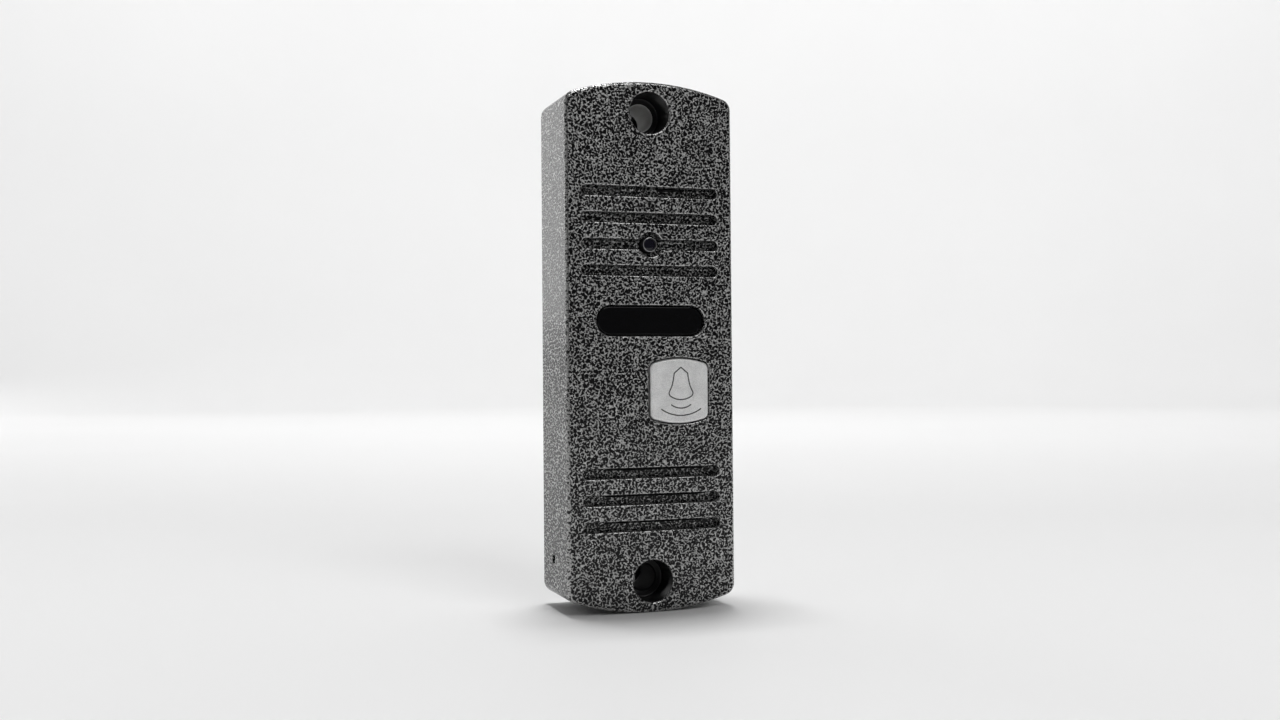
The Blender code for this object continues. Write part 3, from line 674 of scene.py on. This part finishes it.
def cutScrewHoles(housing, paints):
    look = housingLook
    heads = bmesh.new()
    for centre in screwCentres:
        head = widening(centre, look["headRadius"])
        addStack(heads, sunkRings(head, look["lip"] * 1.3, screwSeat, look["headFoot"], wellMark))
    shape(housing, [makeObject("screwHeads", heads, *paints)])
    shanks = bmesh.new()
    for centre in screwCentres:
        shank = widening(centre, look["shankRadius"])
        rings = [(shank(look["shankEdge"]), screwSeat - over, boreMark)]
        for inward, along in roundedEdge(look["shankEdge"], 4)[::-1]:
            rings.append((shank(inward), screwSeat + along, boreMark))
        rings.append((shank(0), back + over, boreMark))
        addStack(shanks, rings)
    shape(housing, [makeObject("screwShanks", shanks, *paints)])


def grooveHeights():  # of the upper and the lower group
    look = housingLook
    pitch = look["groovePitch"]
    upper = [voiceAt.z - i * pitch for i in range(look["upperGrooves"])]
    half = (look["lowerGrooves"] - 1) / 2
    lowerMiddle = speakerAt.z + look["lowerShift"]
    lower = [lowerMiddle + (half - i) * pitch for i in range(look["lowerGrooves"])]
    return upper, lower


def cutGrooves(housing, paints):
    look = housingLook
    upper, lower = grooveHeights()
    grooves = bmesh.new()
    for z in upper + lower:
        def slot(grow):
            return stadium((0, z), look["grooveLength"], look["grooveHeight"], grow)
        addStack(grooves, sunkRings(slot, look["lip"], grooveFloor, look["grooveFoot"]))
    shape(housing, [makeObject("grooves", grooves, *paints)])
    recess = widening((lensAt.x, lensAt.z), look["lensRecess"])
    rings = sunkRings(lambda grow: recess(grow, 64), look["lip"], grooveFloor, look["lensFoot"])
    shape(housing, [stackObject("lensRecess", rings, *paints)])


def cutOpenings(housing, paints):
    look = housingLook
    upper, lower = grooveHeights()
    through = bmesh.new()
    behind = inside + over
    lensHole = ringOf((lensAt.x, lensAt.z), look["lensHole"], 48)
    addStack(through, [(lensHole, front + over), (lensHole, behind)])
    addStack(through, throughRings(windowOutline(gap), look["lip"], behind))
    addStack(through, throughRings(buttonOutline(gap), look["lip"] * 0.8, behind))
    slitRise = (look["grooveHeight"] - look["slitHeight"]) / 2 - look["slitInset"]
    mouth = grooveFloor - look["grooveFoot"] - look["slitOverlap"]
    slits = [(look["slitShift"], z, look["speakerSlit"]) for z in lower]
    slits.append((voiceAt.x, upper[0], look["voiceSlit"]))
    for x, z, length in slits:
        outline = stadium((x, z + slitRise), length, look["slitHeight"], 0, 6)
        addStack(through, [(outline, mouth, wellMark), (outline, behind)])
    shape(housing, [makeObject("openings", through, *paints)])


def cutSideHole(housing, paints):
    look = housingLook
    edge = look["volumeEdge"]
    hole = widening((volumeAt.y, volumeAt.z), look["volumeHole"])
    rings = [(hole(edge, 40), -halfWidth - over)]
    for inward, along in roundedEdge(edge, 4)[::-1]:
        rings.append((hole(inward, 40), -halfWidth + along))
    rings.append((hole(0, 40), -halfWidth + look["sideWall"] + over))
    side = bmesh.new()
    addStack(side, rings, "X")
    shape(housing, [makeObject("sideHole", side, *paints)])


def makeHousing(*paints):  # the walls, the rims, the screw wells and their bores
    housing = housingShell(paints)
    cutScrewHoles(housing, paints)
    cutGrooves(housing, paints)
    cutOpenings(housing, paints)
    cutSideHole(housing, paints)
    evenNormals(housing)
    standFor(housing, "panel", "housing_finish", "housing")


# window

windowLook = {
    "width": 26.4 * mm,  # of its opening
    "height": 7.1 * mm,
    "edge": 0.25 * mm,
    "flange": 1.0 * mm,
}


def windowOutline(more):
    def outline(grow):
        look = windowLook
        spread = more - gap + grow
        return stadium((windowAt.x, windowAt.z), look["width"], look["height"], spread, 24)
    return outline


def makeWindow(material):
    low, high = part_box("window_pane")
    shoulder = high.y - windowLook["flange"]
    wall = windowOutline(0)
    rings = []
    for inward, along in roundedEdge(windowLook["edge"], 6)[::-1]:
        rings.append((wall(-inward), low.y + along))
    rings.append((wall(0), shoulder))
    flange = stadium((windowAt.x, windowAt.z), high.x - low.x, high.z - low.z, 0, 24)
    rings += [(flange, shoulder), (flange, high.y)]
    pane = stackObject("lampWindow", rings, material)
    evenNormals(pane)
    standFor(pane, "panel", "window_plastic", "window_pane")


# call button

buttonLook = {
    "halfWidth": 7.1 * mm,
    "halfHeight": 7.45 * mm,
    "bow": 20 * mm,
    "corner": 1.5 * mm,
    "edge": 0.5 * mm,
    "travel": 0.6 * mm,
    "flangeReach": 1.1 * mm,
    "flangeThick": 0.9 * mm,
    "wall": 1.5 * mm,
    "topThick": 1.6 * mm,
    "stemRadius": 1.9 * mm,
    "lineRadius": 0.16 * mm,
    "lineDepth": 0.04 * mm,  # of the line's middle, below the face
    "bellShift": 0.3 * mm,
}


def buttonOutline(more):
    def outline(grow):
        look = buttonLook
        centre = (buttonAt.x, buttonAt.z)
        sizes = (look["halfWidth"], look["halfHeight"], look["bow"], look["corner"])
        return bulging(centre, *sizes, more + grow, (8, 24))
    return outline


def bowLine(halfWidth, lowest, sag):  # an arc that hangs between two ends
    radius = (halfWidth ** 2 + sag ** 2) / (2 * sag)
    reach = math.asin(halfWidth / radius)
    return arc((0, lowest + radius), radius, reach - math.pi / 2, -reach - math.pi / 2, 24)


def softened(line, step, rounds=2):  # evenly spaced, then its corners cut round
    even = []
    for one, two in zip(line, line[1:] + line[:1]):
        pieces = max(1, round((two - one).length / step))
        even += [one.lerp(two, i / pieces) for i in range(pieces)]
    for _ in range(rounds):
        pairs = list(zip(even, even[1:] + even[:1]))
        even = [one.lerp(two, t) for one, two in pairs for t in (0.25, 0.75)]
    return even


pointGap = 0.35 * mm  # between the points of the bell's outline before they are cut round


def bellLines():
    # the bell is drawn down its right side, along its lip, then mirrored
    side = [(1.68, 4.05), (1.76, 3.3), (1.94, 2.3), (2.25, 1.1)]
    side += [(2.72, 0.1), (2.98, -0.5), (2.78, -1.1)]
    foot = bowLine(2.78, -2.03, 0.93)[1:-1]
    right = [(0, 5.45)] + side
    left = [(-x, z) for x, z in reversed(side)]
    bell = softened([Vector(p) * mm for p in right + foot + left], pointGap)
    waves = [bowLine(2.47, -4.0, 0.83), bowLine(4.93, -5.69, 1.53)]
    return [(bell, True)] + [([Vector(p) * mm for p in wave], False) for wave in waves]


def tubeAlong(bm, line, level, radius, closed=False, sides=8):
    # a tube that follows a line drawn on the front, for cutting a round-bottomed engraving
    rows = []
    count = len(line)
    for i, point in enumerate(line):
        before = line[i - 1] if i or closed else point
        after = line[(i + 1) % count] if i < count - 1 or closed else point
        along = (after - before).normalized()
        across = Vector((-along.y, along.x))
        row = []
        for k in range(sides):
            turn = full * k / sides
            spot = point + across * math.cos(turn) * radius
            row.append(bm.verts.new((spot.x, level + math.sin(turn) * radius, spot.y)))
        rows.append(row)
    pairs = list(zip(rows, rows[1:]))
    if closed:
        pairs.append((rows[-1], rows[0]))
    for one, two in pairs:
        for k in range(sides):
            j = (k + 1) % sides
            bm.faces.new((one[k], one[j], two[j], two[k]))
    if not closed:
        bm.faces.new(rows[0])
        bm.faces.new(rows[-1])


def makeButton(material, lineMaterial):
    look = buttonLook
    low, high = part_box("button_cap")
    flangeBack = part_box("button_retainer")[0].y - gap - look["travel"]
    flange = flangeBack - look["flangeThick"]
    wall = buttonOutline(0)
    rings = []
    for inward, along in roundedEdge(look["edge"], 6)[::-1]:
        rings.append((wall(-inward), low.y + along))
    wide = wall(look["flangeReach"])
    rings += [(wall(0), flange), (wide, flange), (wide, flangeBack)]
    cap = stackObject("callButtonCap", rings, material)
    inner = wall(-look["wall"])
    pocket = [(inner, low.y + look["topThick"]), (inner, flangeBack + over)]
    shape(cap, [stackObject("pocket", pocket)])
    stem = ringOf((buttonAt.x, buttonAt.z), look["stemRadius"], 32)
    shape(cap, [stackObject("stem", [(stem, low.y + mm), (stem, high.y)])], "UNION")
    centre = Vector((buttonAt.x + look["bellShift"], buttonAt.z))
    level = low.y + look["lineDepth"]
    for line, closed in bellLines():
        engraving = bmesh.new()
        tubeAlong(engraving, [centre + p for p in line], level, look["lineRadius"], closed)
        shape(cap, [makeObject("engraving", engraving, lineMaterial)])
    evenNormals(cap)
    standFor(cap, "call_button", "button_finish", "button_cap")


# camera nose

noseLook = {
    "radius": 1.7 * mm,
    "mouth": 1.35 * mm,
    "glass": 1.32 * mm,
    "edge": 0.16 * mm,
    "flange": 0.7 * mm,
    "dome": 0.10 * mm,
}


def makeCameraNose(ringMaterial, highlightRingMaterial):
    look = noseLook
    low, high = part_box("camera_bezel")
    centre = (lensAt.x, lensAt.z)
    flange = (high.x - low.x) / 2
    shoulder = high.y - look["flange"]
    mouth, radius, edge = look["mouth"], look["radius"], look["edge"]
    profile = [(mouth, high.y), (mouth, low.y + 0.45 * mm)]
    profile += [(mouth + 0.04 * mm, low.y + 0.2 * mm), (mouth + 0.12 * mm, low.y + 0.06 * mm)]
    for inward, along in roundedEdge(edge, 5)[::-1]:
        profile.append((radius - inward, low.y + along))
    profile += [(radius, shoulder), (flange, shoulder), (flange, high.y)]
    nose = bmesh.new()
    addSpin(nose, centre, profile, True, 72)
    for face in nose.faces:  # the outer edge gets bright steel: a painted highlight ring round the nose
        spot = face.calc_center_median()
        reach = math.hypot(spot.x - centre[0], spot.z - centre[1])
        if spot.y < low.y + edge and reach > radius - edge:
            face.material_index = 1
    nose = makeObject("cameraNose", nose, ringMaterial, highlightRingMaterial)
    standFor(nose, "panel", "black_plastic", "camera_bezel")


def makeCameraGlass(material):  # a disc with a slight dome
    look = noseLook
    low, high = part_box("camera_glass")
    radius, dome = look["glass"], look["dome"]
    steps = 10
    profile = [(0, high.y), (radius, high.y), (radius, low.y + dome)]
    sphere = (radius ** 2 + dome ** 2) / (2 * dome)
    reach = math.asin(radius / sphere)
    for i in range(1, steps + 1):
        turn = reach * (1 - i / steps)
        profile.append((sphere * math.sin(turn), low.y + sphere * (1 - math.cos(turn))))
    glass = bmesh.new()
    addSpin(glass, (lensAt.x, lensAt.z), profile, False, 64)
    glass = makeObject("cameraGlass", glass, material)
    standFor(glass, "panel", "lens_glass", "camera_glass")


# back

plateLook = {
    "inset": 1.5 * mm,
    "edge": 0.25 * mm,
    "slotWidth": 4.2 * mm,
    "slotHeight": 8.6 * mm,
    "cableHole": 5.0 * mm,
    "lip": 0.2 * mm,
    "screwHole": 1.3 * mm,
    "screwSeat": 2.5 * mm,
    "seatFlare": 0.1 * mm,
    "seatDepth": 1.5 * mm,
}


def screwSpots():
    return [(n, middle(n)) for n in sorted(frame["nodes"]) if n.startswith("back_screw")]


def makeBackPlate(material):
    look = plateLook
    low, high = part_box("back_plate")
    rings = [(bodyOutline(look["inset"]), low.y)]
    for inward, along in roundedEdge(look["edge"], 4):
        rings.append((bodyOutline(look["inset"] + inward), high.y - along))
    plate = stackObject("wallPlate", rings, material)
    holes = bmesh.new()
    height = housingLook["screwHeight"]
    lip = look["lip"]
    for z in (height, -height, cableAt.z):
        def opening(grow):
            if z == cableAt.z:
                return ringOf((0, z), look["cableHole"] + grow, 56)
            lying = stadium((0, 0), look["slotHeight"], look["slotWidth"], grow, 14)
            return [(-v, z + u) for u, v in lying]
        rings = [(opening(0), low.y - over)]
        for inward, along in roundedEdge(lip, 3):
            rings.append((opening(inward), high.y - along))
        rings.append((opening(lip), high.y + over))
        addStack(holes, rings)
    for _, spot in screwSpots():
        hole = ringOf((spot.x, spot.z), look["screwHole"], 40)
        seat = ringOf((spot.x, spot.z), look["screwSeat"], 40)
        mouth = ringOf((spot.x, spot.z), look["screwSeat"] + look["seatFlare"], 40)
        rings = [(hole, low.y - over), (hole, high.y - look["seatDepth"])]
        rings += [(seat, high.y - lip), (mouth, high.y + over)]
        addStack(holes, rings)
    shape(plate, [makeObject("plateHoles", holes)])
    evenNormals(plate)
    standFor(plate, "panel", "back_plate_finish", "back_plate")


screwLook = {
    "shankRadius": 0.8 * mm,
    "headDepth": 1.15 * mm,
    "crossWidth": 0.48 * mm,
    "crossDepth": 0.75 * mm,
    "crossEdge": 0.02 * mm,
    "crossReach": 0.62,  # of the head's radius
    "crossTaper": 0.45,  # size of the cross at its foot
}


def makeBackScrews(material):
    look = screwLook
    for name, spot in screwSpots():
        low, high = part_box(name)
        centre = (spot.x, spot.z)
        top = high.y
        head = (high.x - low.x) / 2
        shank = look["shankRadius"]
        profile = [(0, low.y), (shank, low.y + 0.6 * shank), (shank, top - look["headDepth"])]
        profile += [(head - 0.05 * mm, top - 0.14 * mm), (head, top - 0.07 * mm)]
        profile += [(head - 0.06 * mm, top), (0, top)]
        screw = bmesh.new()
        addSpin(screw, centre, profile, False, 48)
        screw = makeObject(name.replace("back_screw_", "plateScrew"), screw, material)
        cross = bmesh.new()
        wide = look["crossWidth"] / 2
        reach = head * look["crossReach"]
        spots = []
        for k in range(4):  # a plus sign, drawn corner by corner
            turn = Vector((math.cos(k * math.pi / 2), math.sin(k * math.pi / 2)))
            side = Vector((-turn.y, turn.x))
            spots += [turn * reach - side * wide, turn * reach + side * wide, turn * wide + side * wide]
        small = look["crossTaper"]
        deep = [(centre[0] + p.x * small, centre[1] + p.y * small) for p in spots]
        mouth = [(centre[0] + p.x, centre[1] + p.y) for p in spots]
        foot = top - look["crossDepth"]
        addStack(cross, [(deep, foot), (mouth, top - look["crossEdge"]), (mouth, top + over)])
        shape(screw, [makeObject("cross", cross)])
        standFor(screw, "panel", "screw_zinc", name)


grommetLook = {"flange": 1.4 * mm, "wall": 1.5 * mm, "edge": 0.3 * mm, "waist": 0.18 * mm}


def makeGrommet(material):
    look = grommetLook
    low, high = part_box("cable_grommet")
    flange = (high.x - low.x) / 2
    neck = flange - look["flange"]
    bore = neck - look["wall"]
    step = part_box("back_plate")[0].y - gap
    edge = look["edge"]
    soft = edge * 0.3  # where the cut corner of an edge is bent outward
    profile = [(bore, low.y + edge), (bore + soft, low.y + soft), (bore + edge, low.y)]
    profile += [(flange - edge, low.y), (flange - soft, low.y + soft), (flange, low.y + edge)]
    profile += [(flange, step), (neck, step), (neck, high.y - edge), (neck - soft, high.y - soft)]
    profile += [(neck - edge, high.y), (bore + edge, high.y), (bore + soft, high.y - soft)]
    profile += [(bore, high.y - edge), (bore - look["waist"], (low.y + high.y) / 2)]
    ring = bmesh.new()
    addSpin(ring, (cableAt.x, cableAt.z), profile, True, 64)
    ring = makeObject("cableGrommet", ring, material)
    standFor(ring, "panel", "rubber", "cable_grommet")


# what stays as the frame made it

def finishFrame(finishes):
    slotOf = {part["node"]: part["material_slot"] for part in frame["record"]["subparts"]}
    for name, node in frame["nodes"].items():
        node.data.materials.clear()
        node.data.materials.append(finishes[slotOf[name]])


# studio

studioLook = {
    "floorRadius": 2.2,
    "bend": 0.5,
    "wallTop": 2.2,
    "below": 0.05 * mm,  # how far the floor lies under the housing
    "wallFrom": -10,  # degrees round from the right side, by way of the back
    "wallTo": 215,
    "world": 0.08,
}


def makeStudio(material):  # a floor that bends up into a wall on all sides but the front
    look = studioLook
    ground = bodyLow.z - look["below"]
    flat = look["floorRadius"] - look["bend"]
    steps = 12
    profile = [(flat, 0)]
    for i in range(1, steps + 1):
        turn = math.pi / 2 * i / steps
        profile.append((flat + look["bend"] * math.sin(turn), look["bend"] * (1 - math.cos(turn))))
    profile.append((look["floorRadius"], look["wallTop"]))
    bm = bmesh.new()

    def corner(reach, angle, height):
        turn = math.radians(angle)
        return bm.verts.new((reach * math.cos(turn), reach * math.sin(turn), ground + height))
    around = range(look["wallFrom"], look["wallTo"] + 1, 5)
    rows = [[corner(reach, angle, height) for reach, height in profile] for angle in around]
    hub = bm.verts.new((0, 0, ground))
    for one, two in zip(rows, rows[1:]):
        bm.faces.new((hub, one[0], two[0]))
        for i in range(len(one) - 1):
            bm.faces.new((one[i], two[i], two[i + 1], one[i + 1]))
    ahead = range(look["wallTo"] + 5, look["wallFrom"] + 360, 5)
    edge = [rows[-1][0]] + [corner(flat, angle, 0) for angle in ahead] + [rows[0][0]]
    for one, two in zip(edge, edge[1:]):
        bm.faces.new((hub, one, two))
    makeObject("studioSweep", bm, material, sharp=60)


lampLooks = [
    # name, place, aim, size and power, in metres and watts
    ("keyPanel", (0.19, -0.86, 0.74), (0, 0, 0), (0.5, 0.5), 3.3),
    ("topPanel", (0, 0.17, 1.4), (0, 0, 0), (0.4, 0.3), 13.8),
    ("sidePanel", (-0.60, 1.70, 0.46), (0, 0, 0.1), (0.5, 0.8), 1.4),
    ("backPanel", (0.25, 0.6, 1.4), (0.8, 2.1, 0.9), (2.4, 0.5), 26.8),
]


def makeLights():
    for name, place, aim, size, power in lampLooks:
        data = bpy.data.lights.new(name, "AREA")
        data.shape = "RECTANGLE"
        data.size, data.size_y = size
        data.energy = power
        lamp = bpy.data.objects.new(name, data)
        lamp.location = place
        lamp.rotation_euler = (Vector(aim) - Vector(place)).to_track_quat("-Z", "Y").to_euler()
        bpy.context.scene.collection.objects.link(lamp)
    world = bpy.data.worlds.new("studioAir")
    world.use_nodes = True
    world.node_tree.nodes["Background"].inputs[0].default_value = (1, 1, 1, 1)
    world.node_tree.nodes["Background"].inputs[1].default_value = studioLook["world"]
    bpy.context.scene.world = world


cameraLook = {
    "lens": 37.7,
    "place": (-0.1038, -0.3112, -0.0057),
    "turn": 19.1,  # degrees to the right of straight ahead
    "rise": 0.83,  # degrees upward
    "roll": 0.46,
    "shift": (0.0014, -0.0064),
}


def makeCamera():
    look = cameraLook
    data = bpy.data.cameras.new("studioCamera")
    data.lens = look["lens"]
    data.sensor_width = 36
    data.clip_start = 0.01
    data.shift_x, data.shift_y = look["shift"]
    camera = bpy.data.objects.new("studioCamera", data)
    camera.location = look["place"]
    camera.rotation_mode = "XYZ"
    turn = (90 + look["rise"], look["roll"], -look["turn"])
    camera.rotation_euler = [math.radians(a) for a in turn]
    bpy.context.scene.collection.objects.link(camera)
    bpy.context.scene.camera = camera


# making

bpy.context.scene.view_settings.view_transform = "Standard"
makeCamera()
finishes = {
    "housing_finish": hammeredPaint(),
    "back_plate_finish": blackPowder(),
    "rubber": sealRubber(),
    "screw_zinc": zincPlate(),
    "button_finish": satinLacquer(),
    "black_plastic": blackMoulding(),
    "lens_glass": coatedGlass(),
    "board_laminate": greenMask(),
    "ferrite_black": darkCeramic(),
    "steel": plainSteel(),
    "lamp_epoxy": lampResin(),
    "window_plastic": smokedAcrylic(),
    "speaker_paper": coneFibre(),
    "woven_mesh": dustCloth(),
    "trimmer_plastic": trimmerCase(),
    "brass": turnedBrass(),
    "connector_nylon": paleNylon(),
}
print("finishes:", len(finishes))
finishFrame(finishes)
makeHousing(finishes["housing_finish"], hammeredRimHighlight(), wellPaint(), bareCasting())
print("housing made")
makeWindow(finishes["window_plastic"])
makeButton(finishes["button_finish"], darkEngraving())
makeCameraNose(finishes["black_plastic"], finishes["steel"])
makeCameraGlass(finishes["lens_glass"])
print("front pieces made")
makeBackPlate(finishes["back_plate_finish"])
makeBackScrews(finishes["screw_zinc"])
makeGrommet(finishes["rubber"])
print("back pieces made")
makeStudio(studioPaper())
makeLights()
print("studio made")
